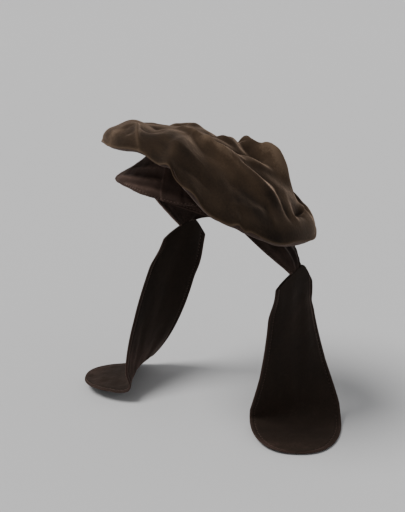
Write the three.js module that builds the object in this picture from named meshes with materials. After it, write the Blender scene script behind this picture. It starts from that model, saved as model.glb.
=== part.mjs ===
// A peasant's cap of brown velvet: a wide, slouching crown, its underside, a narrow band and,
// on each side, a tab behind the ear with a long lappet that widens to a round end.
// Millimetres, +Z up. The wearer faces -Y and the wearer's left is +X.
// The origin is the centre of the head opening. Angles go round it from the front, 0,
// over the wearer's left, 90, to the back, 180.
import * as THREE from "three";

// Fit on the wearer's head
const headWidth = 158;
const headLength = 196;
const headHeight = 113; // from the widest level of the head to its top
const headTop = 74; // the head's top above the origin
const openingTilt = 0.43; // fall of the opening per millimetre from front to back
const openingRise = 5; // how far the front edge curves up from that plane
const bandEase = 1.2; // between the head and the band
const bandHeight = 11;

// Crown
const crownRadius = 110;
const crownHeight = 83;
const crownLean = 0.13; // fall of the top per millimetre towards its lower side
const leanTowards = 140; // angle of that side
const crownDepth = 80; // scale of the rim's height above the origin
const rimRoll = 11; // height of the rounded edge above the rim seam
const edgeRound = 9; // width of that rounded edge
const clothWall = 2;
const seamGap = 0.3;

// Tabs and lappets
const tabDrop = 51; // the tab's lower end below the origin
const tabReach = 102; // that end's distance from the origin, seen from above
const tabAngle = 121;
const tabFrom = 78; // where the tab's upper edge starts and ends on the band
const tabTo = 155;
const tabEndWidth = 15;
const tabBulge = 5;
const tabSag = 1.5; // how far the tab's front edge curves down
const jointFacing = 95; // where the tab's lower end and the lappet's upper edge face
const jointSlope = 0.4; // rise of that end from front to back, per millimetre
const jointPlace = 0.04; // middle of the tab's end on the lappet's upper edge, from its middle
const shoulderSlope = 1.1; // fall of the lappet's upper edge behind the joint
const cornerDrop = 3; // how far that edge's rounded corners curve down
const lappetLength = 234;
const lappetWidth = 96;
const lappetWall = 2.4;
const lappetCup = 6; // how far a hanging lappet's edges turn in towards the wearer
const standHeight = 223; // the origin above the surface that the lappets' ends lie on
const bendReach = 18; // how far before and after its corner a lappet bends onto that surface

// Fineness of the surfaces
const sectionCount = 54;
const crownRings = 12;
const undersideRings = 8;
const bandRings = 2;

const velvet = { color: 0x3b2a1c, roughness: 0.85, metalness: 0 };
const darkVelvet = { color: 0x2a1d15, roughness: 0.9, metalness: 0 };
const lappetVelvet = { color: 0x1d1410, roughness: 0.9, metalness: 0 };

// Rim and fullness of the crown at angles round the head. reach is a share of crownRadius, lift of
// crownDepth and roll of rimRoll. full says how long the top keeps its height before it falls.
const crownSections = [
  { angle: 0, reach: 0.9, lift: 1.085, full: 2.2, roll: 0.9 },
  { angle: 10, reach: 0.9, lift: 1.115, full: 2.2, roll: 0.7 },
  { angle: 18, reach: 0.9, lift: 1.11, full: 2, roll: 0.6 },
  { angle: 27, reach: 0.91, lift: 1.01, full: 1.8, roll: 0.45 },
  { angle: 34, reach: 0.92, lift: 0.98, full: 1.8, roll: 0.4 },
  { angle: 41, reach: 0.93, lift: 0.775, full: 1.8, roll: 0.4 },
  { angle: 53, reach: 0.96, lift: 0.48, full: 1.8, roll: 0.45 },
  { angle: 66, reach: 0.98, lift: 0.305, full: 1.9, roll: 0.5 },
  { angle: 80, reach: 1, lift: 0.13, full: 2, roll: 0.6 },
  { angle: 97, reach: 1.02, lift: -0.07, full: 2.1, roll: 0.8 },
  { angle: 118, reach: 1.03, lift: -0.2, full: 2, roll: 1.4 },
  { angle: 134, reach: 1.06, lift: -0.25, full: 1.75, roll: 1.8 },
  { angle: 146, reach: 1.05, lift: -0.22, full: 1.65, roll: 1.8 },
  { angle: 160, reach: 0.98, lift: -0.15, full: 1.5, roll: 1.5 },
  { angle: 180, reach: 0.92, lift: -0.08, full: 1.6, roll: 1 },
  { angle: 205, reach: 0.91, lift: 0.02, full: 1.75, roll: 0.8 },
  { angle: 232, reach: 0.93, lift: 0.2, full: 1.8, roll: 0.8 },
  { angle: 260, reach: 0.92, lift: 0.46, full: 1.8, roll: 0.8 },
  { angle: 290, reach: 0.9, lift: 0.7, full: 2, roll: 0.9 },
  { angle: 318, reach: 0.875, lift: 0.88, full: 2, roll: 1.1 },
  { angle: 336, reach: 0.88, lift: 0.99, full: 2.2, roll: 1.1 },
  { angle: 350, reach: 0.89, lift: 1.045, full: 2.2, roll: 1.1 },
];

// Underside between rim and band: where it tucks in below the rim and where it swells out again.
// waistReach and lipReach are shares of the way from band to rim; waistLift and lipLift are shares
// of the height from the band's top to the rim.
const undersideSections = [
  { angle: 0, waistReach: -0.3, waistLift: 0.62, lipReach: 0.5, lipLift: -0.12 },
  { angle: 40, waistReach: 0.0, waistLift: 0.56, lipReach: 0.42, lipLift: -0.05 },
  { angle: 80, waistReach: 0.5, waistLift: 0.3, lipReach: 0.34, lipLift: 0.2 },
  { angle: 130, waistReach: 0.6, waistLift: 0.5, lipReach: 0.3, lipLift: 0.3 },
  { angle: 180, waistReach: 0.6, waistLift: 0.5, lipReach: 0.3, lipLift: 0.3 },
  { angle: 240, waistReach: 0.5, waistLift: 0.5, lipReach: 0.3, lipLift: 0.3 },
  { angle: 290, waistReach: -0.1, waistLift: 0.6, lipReach: 0.4, lipLift: 0.05 },
  { angle: 325, waistReach: -0.35, waistLift: 0.64, lipReach: 0.55, lipLift: -0.12 },
];

// Ridges (height above 0) and hollows (below 0) of the crown's cloth, each along a line between
// two places on the crown. Reaches and widths are shares of the crown, heights of crownHeight.
const crownFolds = [
  { from: 335, fromReach: 0.16, to: 64, toReach: 0.32, height: 0.05, width: 0.07 },
  { from: 64, fromReach: 0.32, to: 106, toReach: 0.76, height: 0.085, width: 0.075 },
  { from: 80, fromReach: 0.4, to: 138, toReach: 0.62, height: 0.045, width: 0.06 },
  { from: 156, fromReach: 0.22, to: 170, toReach: 0.46, height: 0.1, width: 0.07 },
  { from: 104, fromReach: 0.33, to: 150, toReach: 0.52, height: -0.06, width: 0.05 },
  { from: 176, fromReach: 0.6, to: 150, toReach: 0.68, height: 0.3, width: 0.11 },
  { from: 198, fromReach: 0.56, to: 190, toReach: 0.74, height: 0.06, width: 0.1 },
  { from: 172, fromReach: 0.24, to: 178, toReach: 0.5, height: -0.05, width: 0.08 },
  { from: 9, fromReach: 0.96, to: 328, toReach: 0.68, height: 0.15, width: 0.09 },
  { from: 20, fromReach: 0.88, to: 352, toReach: 0.42, height: -0.07, width: 0.1 },
  { from: 160, fromReach: 0.7, to: 152, toReach: 0.76, height: 0.1, width: 0.045 },
  { from: 118, fromReach: 0.9, to: 154, toReach: 0.92, height: -0.12, width: 0.05 },
  { from: 92, fromReach: 0.8, to: 76, toReach: 0.66, height: -0.05, width: 0.09 },
  { from: 240, fromReach: 0.3, to: 252, toReach: 0.8, height: 0.06, width: 0.09 },
  { from: 272, fromReach: 0.35, to: 280, toReach: 0.85, height: -0.06, width: 0.08 },
  { from: 215, fromReach: 0.4, to: 218, toReach: 0.85, height: -0.07, width: 0.07 },
];

// Lappet outline: its width at shares of the length before the round end starts
const lappetOutline = [
  { along: 0, width: 0.58 },
  { along: 0.26, width: 0.7 },
  { along: 0.48, width: 0.83 },
  { along: 0.67, width: 1 },
];
const roundEndFrom = 0.67; // share of the length where the end starts to round
const roundEndPower = 2.5;

// How each lappet falls: where its middle line meets the surface and where it heads from there,
// and how high its front and rear edges stay above the surface. landingReach is a share of
// tabReach, the lifts are shares of lappetWidth.
const lappetPoses = {
  left: { side: 1, landingAngle: 123, landingReach: 1.02, heading: 47, frontLift: 0.03, backLift: 0 },
  right: { side: -1, landingAngle: -76, landingReach: 0.885, heading: -46, frontLift: 0.12, backLift: 0 },
};

const degree = Math.PI / 180;

// The horizontal direction at an angle round the head
function outward(angle) {
  return new THREE.Vector3(Math.sin(angle * degree), -Math.cos(angle * degree), 0);
}

// A smooth value from a table whose rows go once round the head
function around(rows, angle, column) {
  const turn = ((angle % 360) + 360) % 360;
  const count = rows.length;
  let last = count - 1;
  for (let i = 0; i < count; i += 1) {
    if (rows[i].angle <= turn) last = i;
  }
  const row = (step) => rows[(last + step + 2 * count) % count];
  const start = row(0).angle;
  const span = (row(1).angle - start + 360) % 360;
  const t = ((turn - start + 360) % 360) / span;
  const slope = (a, b, c) => {
    const before = (b.angle - a.angle + 360) % 360;
    const after = (c.angle - b.angle + 360) % 360;
    return (c[column] - a[column]) / (before + after);
  };
  const slopeIn = slope(row(-1), row(0), row(1)) * span;
  const slopeOut = slope(row(0), row(1), row(2)) * span;
  const low = row(0)[column];
  const high = row(1)[column];
  const t2 = t * t;
  const t3 = t2 * t;
  return (2 * t3 - 3 * t2 + 1) * low + (t3 - 2 * t2 + t) * slopeIn
    + (3 * t2 - 2 * t3) * high + (t3 - t2) * slopeOut;
}

function smooth(t) {
  const u = Math.min(1, Math.max(0, t));
  return u * u * (3 - 2 * u);
}

// Distance of the head's surface from the origin's axis, at an angle and a height
function headReach(angle, height) {
  const level = (height - (headTop - headHeight)) / headHeight;
  const widest = 1 / Math.hypot(
    Math.sin(angle * degree) / (headWidth / 2),
    Math.cos(angle * degree) / (headLength / 2),
  );
  return widest * Math.sqrt(Math.max(0.05, 1 - level * level));
}

// The band's place at an angle, at a height above its lower edge
function bandPoint(angle, up) {
  let reach = headLength / 2;
  let height = 0;
  for (let i = 0; i < 12; i += 1) {
    height = openingTilt * reach * Math.cos(angle * degree)
      + openingRise * (1 + Math.cos(angle * degree)) / 2;
    reach = headReach(angle, height);
  }
  return outward(angle)
    .multiplyScalar(headReach(angle, height + up) + bandEase)
    .setZ(height + up);
}

function rimPoint(angle) {
  return outward(angle)
    .multiplyScalar(crownRadius * around(crownSections, angle, "reach"))
    .setZ(crownDepth * around(crownSections, angle, "lift"));
}

// Height of the folds at a place on the crown, given as a reach from 0 to 1 and an angle
function foldHeight(reach, angle) {
  const here = outward(angle).multiplyScalar(reach);
  let height = 0;
  for (const fold of crownFolds) {
    const start = outward(fold.from).multiplyScalar(fold.fromReach);
    const end = outward(fold.to).multiplyScalar(fold.toReach);
    const nearest = new THREE.Line3(start, end).closestPointToPoint(here, true, new THREE.Vector3());
    const away = here.distanceTo(nearest) / fold.width;
    height += fold.height * crownHeight * Math.exp(-away * away);
  }
  return height * (1 - reach ** 6);
}

// A place on the crown's outer face: reach 0 at the middle, 1 at the rim seam
function crownPoint(reach, angle) {
  const rim = rimPoint(angle);
  const rimReach = Math.hypot(rim.x, rim.y);
  const rollShare = around(crownSections, angle, "roll");
  const inner = 1 - (edgeRound * (1 + rollShare)) / 2 / rimReach;
  const past = Math.max(0, (reach - inner) / (1 - inner));
  const roll = rimRoll * rollShare * Math.sqrt(Math.max(0, 1 - past * past));
  const shoulder = rim.z + rimRoll * rollShare;
  const fall = reach ** around(crownSections, angle, "full");
  const place = rim.clone().multiplyScalar(reach).setZ(0);
  const lean = crownLean * place.dot(outward(leanTowards)) * (1 - reach ** 3);
  const height = rim.z + roll + (crownHeight - shoulder) * (1 - fall) - lean;
  return place.setZ(height + foldHeight(reach, angle));
}

// A place on the underside's outer face: 0 at the rim seam, 1 at the band's top
function undersidePoint(way, angle) {
  const rim = rimPoint(angle);
  rim.z -= seamGap;
  const band = bandPoint(angle, bandHeight + seamGap);
  const reachAt = (share) => THREE.MathUtils.lerp(
    Math.hypot(band.x, band.y), Math.hypot(rim.x, rim.y), share,
  );
  const heightAt = (share) => THREE.MathUtils.lerp(band.z, rim.z, share);
  const value = (column) => around(undersideSections, angle, column);
  const profile = new THREE.CatmullRomCurve3([
    new THREE.Vector3(reachAt(1), 0, heightAt(1)),
    new THREE.Vector3(reachAt(1) - edgeRound * 0.7, 0, heightAt(1) - edgeRound * 0.4),
    new THREE.Vector3(reachAt(value("waistReach")), 0, heightAt(value("waistLift"))),
    new THREE.Vector3(reachAt(value("lipReach")), 0, heightAt(value("lipLift"))),
    new THREE.Vector3(reachAt(0), 0, heightAt(0)),
  ]);
  const place = profile.getPoint(way);
  return outward(angle).multiplyScalar(place.x).setZ(place.z);
}

// A closed skin round a grid of points: rows of outer and inner points, joined at their ends.
// wraps says that a row runs round the head; pole says that the first row is a single point.
function sheetGeometry(outer, inner, wraps, pole = false) {
  const positions = [];
  const indices = [];
  const place = (rows) => rows.map((row) => row.map((point) => {
    positions.push(point.x, point.y, point.z);
    return positions.length / 3 - 1;
  }));
  const faces = (rows, flipped) => {
    for (let j = 0; j + 1 < rows.length; j += 1) {
      const count = rows[j + 1].length;
      for (let i = 0; i < (wraps ? count : count - 1); i += 1) {
        const next = (i + 1) % count;
        const corners = [rows[j][i], rows[j + 1][i], rows[j + 1][next], rows[j][next]];
        if (rows[j].length === 1) triangle(rows[j][0], corners[1], corners[2], flipped);
        else {
          triangle(corners[0], corners[1], corners[2], flipped);
          triangle(corners[0], corners[2], corners[3], flipped);
        }
      }
    }
  };
  const triangle = (a, b, c, flipped) => indices.push(...(flipped ? [a, c, b] : [a, b, c]));
  const outside = place(outer);
  const inside = place(inner);
  faces(outside, false);
  faces(inside, true);
  const last = outside.length - 1;
  const edges = [[inside[last], outside[last], true]];
  if (!pole) edges.push([inside[0], outside[0], false]);
  for (const [within, without, flipped] of edges) {
    for (let i = 0; i < (wraps ? within.length : within.length - 1); i += 1) {
      const next = (i + 1) % within.length;
      triangle(within[i], without[i], without[next], flipped);
      triangle(within[i], without[next], within[next], flipped);
    }
  }
  if (!wraps) {
    for (let j = 0; j < last; j += 1) {
      const end = outside[j].length - 1;
      triangle(inside[j][0], outside[j][0], outside[j + 1][0], true);
      triangle(inside[j][0], outside[j + 1][0], inside[j + 1][0], true);
      triangle(inside[j][end], outside[j][end], outside[j + 1][end], false);
      triangle(inside[j][end], outside[j + 1][end], inside[j + 1][end], false);
    }
  }
  const geometry = new THREE.BufferGeometry();
  geometry.setAttribute("position", new THREE.Float32BufferAttribute(positions, 3));
  geometry.setIndex(indices);
  geometry.computeVertexNormals();
  return geometry;
}

// The inner face of a cloth wall: each point moved in along the face's own direction there
function offsetRows(rows, wall, wraps, fixed = () => null) {
  return rows.map((row, j) => row.map((point, i) => {
    const pinned = fixed(j, i);
    if (pinned) return point.clone().addScaledVector(pinned, -wall);
    const count = row.length;
    const before = wraps ? row[(i + count - 1) % count] : row[Math.max(0, i - 1)];
    const after = wraps ? row[(i + 1) % count] : row[Math.min(count - 1, i + 1)];
    const column = (k) => (rows[k].length === 1 ? rows[k][0] : rows[k][i]);
    const across = after.clone().sub(before);
    const along = column(Math.min(rows.length - 1, j + 1)).clone().sub(column(Math.max(0, j - 1)));
    const facing = along.cross(across).normalize();
    return point.clone().addScaledVector(facing, -wall);
  }));
}

const sectionAngles = Array.from({ length: sectionCount }, (_, i) => (360 * i) / sectionCount);

function crownTopGeometry() {
  const share = (j) => 1 - (1 - j / crownRings) ** 1.35;
  const rows = [[crownPoint(0, 0)]];
  for (let j = 1; j <= crownRings; j += 1) {
    rows.push(sectionAngles.map((angle) => crownPoint(share(j), angle)));
  }
  const inner = offsetRows(rows, clothWall, true, (j, i) => {
    if (j === 0) return new THREE.Vector3(0, 0, 1);
    return j === crownRings ? outward(sectionAngles[i]) : null;
  });
  return sheetGeometry(rows, inner, true, true);
}

function undersideGeometry() {
  const rows = [];
  for (let j = 0; j <= undersideRings; j += 1) {
    rows.push(sectionAngles.map((angle) => undersidePoint(j / undersideRings, angle)));
  }
  const inner = offsetRows(rows, clothWall, true, (j, i) => (
    j === 0 || j === undersideRings ? outward(sectionAngles[i]) : null
  ));
  return sheetGeometry(rows, inner, true);
}

function bandGeometry() {
  const rows = [];
  for (let j = 0; j <= bandRings; j += 1) {
    const up = bandHeight * (1 - j / bandRings);
    rows.push(sectionAngles.map((angle) => bandPoint(angle, up)));
  }
  const inner = offsetRows(rows, clothWall, true, (j, i) => outward(sectionAngles[i]));
  return sheetGeometry(rows, inner, true);
}

// Middle of a tab's lower end, and the line of that end from front to back
function tabEnd(side) {
  return outward(side * tabAngle).multiplyScalar(tabReach).setZ(-tabDrop);
}

function jointLine(side) {
  return outward(side * (jointFacing + 90)).setZ(jointSlope);
}

function tabGeometry(side) {
  const steps = 8;
  const columns = 8;
  const end = tabEnd(side);
  const line = jointLine(side);
  const upperAngles = Array.from({ length: columns + 1 }, (_, i) => (
    side * THREE.MathUtils.lerp(tabFrom, tabTo, i / columns)
  ));
  const rows = [];
  for (let j = 0; j <= steps; j += 1) {
    const down = j / steps;
    const row = [];
    for (let i = 0; i <= columns; i += 1) {
      const share = i / columns;
      const top = bandPoint(upperAngles[i], -seamGap);
      const foot = end.clone().addScaledVector(line, (share - 0.5) * tabEndWidth);
      const point = top.lerp(foot, down);
      const arch = Math.sin(Math.PI * down);
      point.addScaledVector(outward(side * tabAngle), tabBulge * arch * Math.sin(Math.PI * share));
      point.z -= tabSag * arch * (1 - share);
      row.push(point);
    }
    rows.push(side > 0 ? row : row.reverse());
  }
  const inner = offsetRows(rows, clothWall, false, (j, i) => {
    if (j === 0) return outward(upperAngles[side > 0 ? i : columns - i]);
    return j === steps ? outward(side * jointFacing) : null;
  });
  return sheetGeometry(rows, inner, false);
}

// Width of a lappet at a share of its length
function lappetWidthAt(along) {
  if (along >= roundEndFrom) {
    const past = (along - roundEndFrom) / (1 - roundEndFrom);
    return lappetWidth * Math.max(0, 1 - past ** roundEndPower) ** (1 / roundEndPower);
  }
  let k = 0;
  while (k + 2 < lappetOutline.length && lappetOutline[k + 1].along <= along) k += 1;
  const low = lappetOutline[k];
  const high = lappetOutline[k + 1];
  return lappetWidth * THREE.MathUtils.mapLinear(along, low.along, high.along, low.width, high.width);
}

// Middle line of a lappet: down to the surface, round a bend, then flat on the surface
function lappetPath(pose) {
  const start = tabEnd(pose.side);
  start.addScaledVector(jointLine(pose.side), -jointPlace * lappetWidth * lappetOutline[0].width);
  start.addScaledVector(outward(pose.side * jointFacing), -clothWall / 2);
  start.z -= seamGap * Math.hypot(1, jointSlope);
  const corner = outward(pose.landingAngle).multiplyScalar(tabReach * pose.landingReach);
  corner.z = -standHeight + lappetWall / 2;
  const fall = corner.clone().sub(start).normalize();
  const ahead = outward(pose.heading);
  const bendStart = corner.clone().addScaledVector(fall, -bendReach);
  const bendEnd = corner.clone().addScaledVector(ahead, bendReach);
  const bend = new THREE.QuadraticBezierCurve3(bendStart, corner, bendEnd);
  const flat = lappetLength - start.distanceTo(bendStart) - bend.getLength();
  const path = new THREE.CurvePath();
  path.add(new THREE.LineCurve3(start, bendStart));
  path.add(bend);
  path.add(new THREE.LineCurve3(bendEnd, bendEnd.clone().addScaledVector(ahead, flat)));
  return { path, settledAt: 1 - flat / lappetLength };
}

// How far a place on a lappet's upper edge lies below the joint's line, from that edge's middle
function upperEdgeDrop(fromMiddle) {
  const middle = jointPlace * lappetWidth * lappetOutline[0].width;
  const behind = Math.max(0, fromMiddle - middle - tabEndWidth / 2);
  return shoulderSlope * behind + jointSlope * (behind - fromMiddle);
}

function lappetGeometry(pose) {
  const steps = 26;
  const columns = 6;
  const { path, settledAt } = lappetPath(pose);
  const outer = [];
  const inner = [];
  for (let j = 0; j <= steps; j += 1) {
    const along = 1 - (1 - j / steps) ** 1.25;
    const place = path.getPoint(along);
    const tangent = path.getTangent(along);
    const settled = Math.min(1, along / settledAt) ** 2.2;
    const facing = THREE.MathUtils.lerp(pose.side * jointFacing, pose.heading, settled);
    const across = outward(facing + 90);
    const upper = 1 - smooth(along * 4);
    across.addScaledVector(tangent, (upper - 1) * across.dot(tangent)).normalize();
    across.z *= 1 - settled;
    const width = Math.max(lappetWidthAt(along), lappetWidth * 0.12);
    const outside = tangent.clone().cross(across).normalize();
    if (j === 0) outside.copy(outward(facing));
    const cup = lappetCup * smooth(along * 5) * (1 - settled);
    const outerRow = [];
    const innerRow = [];
    for (let i = 0; i <= columns; i += 1) {
      const share = i / columns - 0.5;
      const towardsBack = pose.side * share;
      const point = place.clone().addScaledVector(across, share * width);
      point.addScaledVector(outside, cup * (Math.cos(Math.PI * share) - 1));
      point.z -= upper * (upperEdgeDrop(towardsBack * width) + cornerDrop * (2 * share) ** 4);
      point.z = Math.max(point.z, -standHeight + lappetWall / 2);
      const crosswise = 0.5 + (towardsBack * width) / lappetWidth;
      const lift = THREE.MathUtils.lerp(pose.frontLift, pose.backLift, crosswise);
      point.z += lift * lappetWidth * settled;
      outerRow.push(point.clone().addScaledVector(outside, lappetWall / 2));
      innerRow.push(point.addScaledVector(outside, -lappetWall / 2));
    }
    outer.push(outerRow);
    inner.push(innerRow);
  }
  return sheetGeometry(outer, inner, false);
}

function piece(name, geometry, look) {
  const mesh = new THREE.Mesh(geometry, new THREE.MeshStandardMaterial(look));
  mesh.name = name;
  return mesh;
}

const cap = new THREE.Group();
cap.add(piece("crown_top", crownTopGeometry(), velvet));
cap.add(piece("crown_underside", undersideGeometry(), darkVelvet));
cap.add(piece("headband", bandGeometry(), darkVelvet));
for (const [name, pose] of Object.entries(lappetPoses)) {
  cap.add(piece(`ear_tab_${name}`, tabGeometry(pose.side), darkVelvet));
  cap.add(piece(`lappet_${name}`, lappetGeometry(pose), lappetVelvet));
}

export default cap;
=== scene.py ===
"""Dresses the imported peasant's cap: velvet skins with folds, hems, seams and stitches, on a pale floor."""

import math

import bpy
import numpy as np
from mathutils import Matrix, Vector, noise


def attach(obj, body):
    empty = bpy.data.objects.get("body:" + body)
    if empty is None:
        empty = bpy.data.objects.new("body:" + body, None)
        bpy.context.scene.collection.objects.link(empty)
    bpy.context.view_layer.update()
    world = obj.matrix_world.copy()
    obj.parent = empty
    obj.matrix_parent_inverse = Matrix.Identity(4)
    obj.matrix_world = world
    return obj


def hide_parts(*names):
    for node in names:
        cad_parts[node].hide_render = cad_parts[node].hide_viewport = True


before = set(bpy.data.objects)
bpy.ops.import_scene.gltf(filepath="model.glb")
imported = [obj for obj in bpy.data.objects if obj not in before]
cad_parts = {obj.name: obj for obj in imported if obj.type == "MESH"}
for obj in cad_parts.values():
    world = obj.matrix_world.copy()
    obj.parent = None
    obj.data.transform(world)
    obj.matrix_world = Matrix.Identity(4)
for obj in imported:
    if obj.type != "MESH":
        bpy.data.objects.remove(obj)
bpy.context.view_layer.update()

# Lengths are in millimetres. Angles are in degrees round the head, from the front, 0, over the
# wearer's left, 90. The sizes up to the lappets' are those of the part's source.

# Fit on the wearer's head
HEAD_WIDTH = 158.0
HEAD_LENGTH = 196.0
HEAD_HEIGHT = 113.0  # from the widest level of the head to its top
HEAD_TOP = 74.0
OPENING_TILT = 0.43  # fall of the opening per millimetre from front to back
OPENING_RISE = 5.0  # how far the front edge curves up from that plane
BAND_EASE = 1.2  # between the head and the band
BAND_HEIGHT = 11.0

# Crown
CROWN_RADIUS = 110.0
CROWN_HEIGHT = 83.0
CROWN_LEAN = 0.13  # fall of the top per millimetre towards its lower side
LEAN_TOWARDS = 140  # angle of that side
CROWN_DEPTH = 80.0  # scale of the rim's height above the origin
RIM_ROLL = 11.0  # height of the rounded edge above the rim seam
EDGE_ROUND = 9.0  # width of that rounded edge
CLOTH = 2.0
SEAM_GAP = 0.3

# Tabs
TAB_DROP = 51.0  # the tab's lower end below the origin
TAB_REACH = 102.0  # that end's distance from the origin, seen from above
TAB_ANGLE = 121.0
TAB_FROM = 78.0  # where the tab's upper edge starts and ends on the band
TAB_TO = 155.0
TAB_END_WIDTH = 15.0
TAB_BULGE = 5.0
TAB_SAG = 1.5  # how far the tab's front edge curves down
JOINT_FACING = 95.0  # where the tab's lower end and the lappet's upper edge face
JOINT_SLOPE = 0.4  # rise of that end from front to back, per millimetre
JOINT_PLACE = 0.04  # middle of the tab's end on the lappet's upper edge, from its middle

# Lappets
CORNER_DROP = 3.0  # how far the upper edge's rounded corners curve down
LAPPET_LENGTH = 234.0
LAPPET_WIDTH = 96.0
LAPPET_WALL = 2.4
LAPPET_CUP = 6.0  # how far a hanging lappet's edges turn in towards the wearer
STAND_HEIGHT = 223.0  # the origin above the surface that the lappets' ends lie on
BEND_REACH = 18.0  # how far before and after its corner a lappet bends onto that surface
ROUND_END_FROM = 0.67  # share of the length where the end starts to round
ROUND_END_POWER = 2.5
SETTLE_POWER = 2.2  # how late a lappet turns to its heading and flattens
LOWEST = -STAND_HEIGHT + LAPPET_WALL / 2  # middle of a lappet's wall where it lies flat

# Where a lappet departs from the source: a finer tip, and an upper edge that meets the tab closely
TIP_WIDTH = 0.04  # share of the width that is left at the very end
SHOULDER_SLOPE = 1.5  # fall of the lappet's upper edge behind the joint
SHOULDER_EASE = 3.0  # how gently that fall starts
LAPPET_TUCK = 1.0  # how far the lappet reaches up into the tab's end

# Fineness of the meshes
COLUMNS = 360
CROWN_ROWS = 104
UNDER_ROWS = 120
BAND_ROWS = 8
TAB_ROWS = 40
TAB_COLUMNS = 60
LAPPET_ROWS = 180
LAPPET_COLUMNS = 72
CROWN_CROWDING = 1.8  # above 1, the rows lie closer together towards the rim
LAPPET_CROWDING = 1.25  # above 1, the rows lie closer together towards the round end

# Unevenness of each cloth: height, wave length and place in the noise
CROWN_RUMPLES = [(0.45, 40.0, 3.1), (0.22, 13.0, 11.7)]
UNDER_RUMPLES = [(0.8, 24.0, 5.3), (0.3, 9.0, 8.8)]
TAB_RUMPLES = [(0.7, 14.0, 2.2)]
LAPPET_RUMPLES = [(0.35, 12.0, 6.1)]

# Gathers of a tab
GATHER_HEIGHT = 0.9
GATHER_COUNT = 4.5
GATHER_TURN = 1.5  # how far the gathers drift sideways down the tab, in radians

# Folds of a lappet: height, fineness across it and down it, place in the noise
LONG_FOLDS = (1.7, 0.075, 0.011, 4.4)
END_RIPPLES = (0.8, 0.018, 0.11, 9.7)
FOLDS_FROM = 30.0  # length over which the long folds grow below the joint
RIPPLES_FROM = 185.0
RIPPLES_SPREAD = 25.0
EDGE_FOLD = 0.15  # share of the folds' height that is left at a lappet's edge
EDGE_CALM = 9.0  # from the edge to the full folds

# Shape of a sharp fold, and the height above the blurred surface that counts as a full crest
FOLD_FALL = 1.5  # how steeply it falls off beside its line
FOLD_ROUND = 0.22  # how round its crest is, as a share of its width
CREST_RISE = 1.2

# Hem of the crown: a bead along the rim, a groove beside it and a strip of painted shade beside that
BEAD_HEIGHT = 0.8
BEAD_WIDTH = 1.2
GROOVE_DEPTH = 0.3
GROOVE_PLACE = 3.2
HEM_SHADE_TONE = 0.16
HEM_SHADE_PLACE = 7.0
HEM_SHADE_WIDTH = 6.0

# How light the seams and edges are rubbed, and over what width. On the crown's hem the light line is partly
# wear and partly a painted highlight; on the underside the lightening is a painted highlight on raised seams
# and creases.
CROWN_HEM_WEAR_AND_HIGHLIGHT = 0.7
UNDER_SEAM_HIGHLIGHT = 0.4
TAB_WEAR = 0.8
TAB_WEAR_WIDTH = 1.4
LAPPET_WEAR = 0.7
LAPPET_WEAR_WIDTH = 1.6

# Painted light under the peak, a darker tone on the tabs, and painted light at a lappet's bend and on its
# flat end
PEAK_PAINTED_LIGHT = 0.25
PEAK_ANGLE = -14
PEAK_SPREAD = 28
TAB_TONE = -0.3
BEND_PAINTED_LIGHT = 0.28
BEND_PLACE = 160
BEND_SPREAD = 28
END_PAINTED_LIGHT = 0.32
END_FROM = 196
END_SPREAD = 30

# Stitches
STITCH_PITCH = 3.4
STITCH_WIDTH = 0.6
STITCH_GROOVE = 1.6  # half width of the groove that a row of stitches pulls in
UNDER_STITCHES = 2.4  # from a seam of the underside, band or tab to its stitches
LAPPET_STITCHES = 5.0  # from a lappet's edge to its stitches
LAPPET_EDGE_ROUND = 3.0  # from a lappet's edge to its full thickness
LAPPET_EDGE_THIN = 0.06  # square of the share of the thickness that is left at the edge
LAPPET_DENT = 0.25  # how far a lappet's stitches pull in each face
LAPPET_DENT_WIDTH = 1.3
SEAM_WAY = 0.75  # where the underside's seam lies, as a share of its way

# Rough lengths that turn shares and degrees into millimetres
UNDER_WAY = 75.0  # from the rim seam to the band, along the underside
UNDER_DEGREE = 1.3
BAND_DEGREE = 1.35
TAB_RUN = 60.0  # along a tab's side

# Rim and fullness of the crown, as in the source: angle, reach, lift, full and roll. reach is a
# share of CROWN_RADIUS, lift of CROWN_DEPTH and roll of RIM_ROLL. full says how long the top keeps
# its height before it falls.
CROWN_SECTIONS = np.array([
    (0, 0.9, 1.085, 2.2, 0.9),
    (10, 0.9, 1.115, 2.2, 0.7),
    (18, 0.9, 1.11, 2.0, 0.6),
    (27, 0.91, 1.01, 1.8, 0.45),
    (34, 0.92, 0.98, 1.8, 0.4),
    (41, 0.93, 0.775, 1.8, 0.4),
    (53, 0.96, 0.48, 1.8, 0.45),
    (66, 0.98, 0.305, 1.9, 0.5),
    (80, 1.0, 0.13, 2.0, 0.6),
    (97, 1.02, -0.07, 2.1, 0.8),
    (118, 1.03, -0.2, 2.0, 1.4),
    (134, 1.06, -0.25, 1.75, 1.8),
    (146, 1.05, -0.22, 1.65, 1.8),
    (160, 0.98, -0.15, 1.5, 1.5),
    (180, 0.92, -0.08, 1.6, 1.0),
    (205, 0.91, 0.02, 1.75, 0.8),
    (232, 0.93, 0.2, 1.8, 0.8),
    (260, 0.92, 0.46, 1.8, 0.8),
    (290, 0.9, 0.7, 2.0, 0.9),
    (318, 0.875, 0.88, 2.0, 1.1),
    (336, 0.88, 0.99, 2.2, 1.1),
    (350, 0.89, 1.045, 2.2, 1.1),
])
REACH, LIFT, FULL, ROLL = 1, 2, 3, 4

# Underside, with a deeper waist and lip at the front than the source has: angle, reach and lift of
# the waist, reach and lift of the lip. The reaches are shares of the way from band to rim, the
# lifts are shares of the height from the band's top to the rim.
UNDERSIDE_SECTIONS = np.array([
    (0, -0.4, 0.7, 0.5, -0.2),
    (40, -0.05, 0.58, 0.42, -0.14),
    (80, 0.5, 0.3, 0.34, 0.2),
    (130, 0.6, 0.5, 0.3, 0.3),
    (180, 0.6, 0.5, 0.3, 0.3),
    (240, 0.5, 0.5, 0.3, 0.3),
    (290, -0.25, 0.66, 0.42, 0.05),
    (325, -0.5, 0.75, 0.62, -0.14),
])
WAIST_REACH, WAIST_LIFT, LIP_REACH, LIP_LIFT = 1, 2, 3, 4

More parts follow.
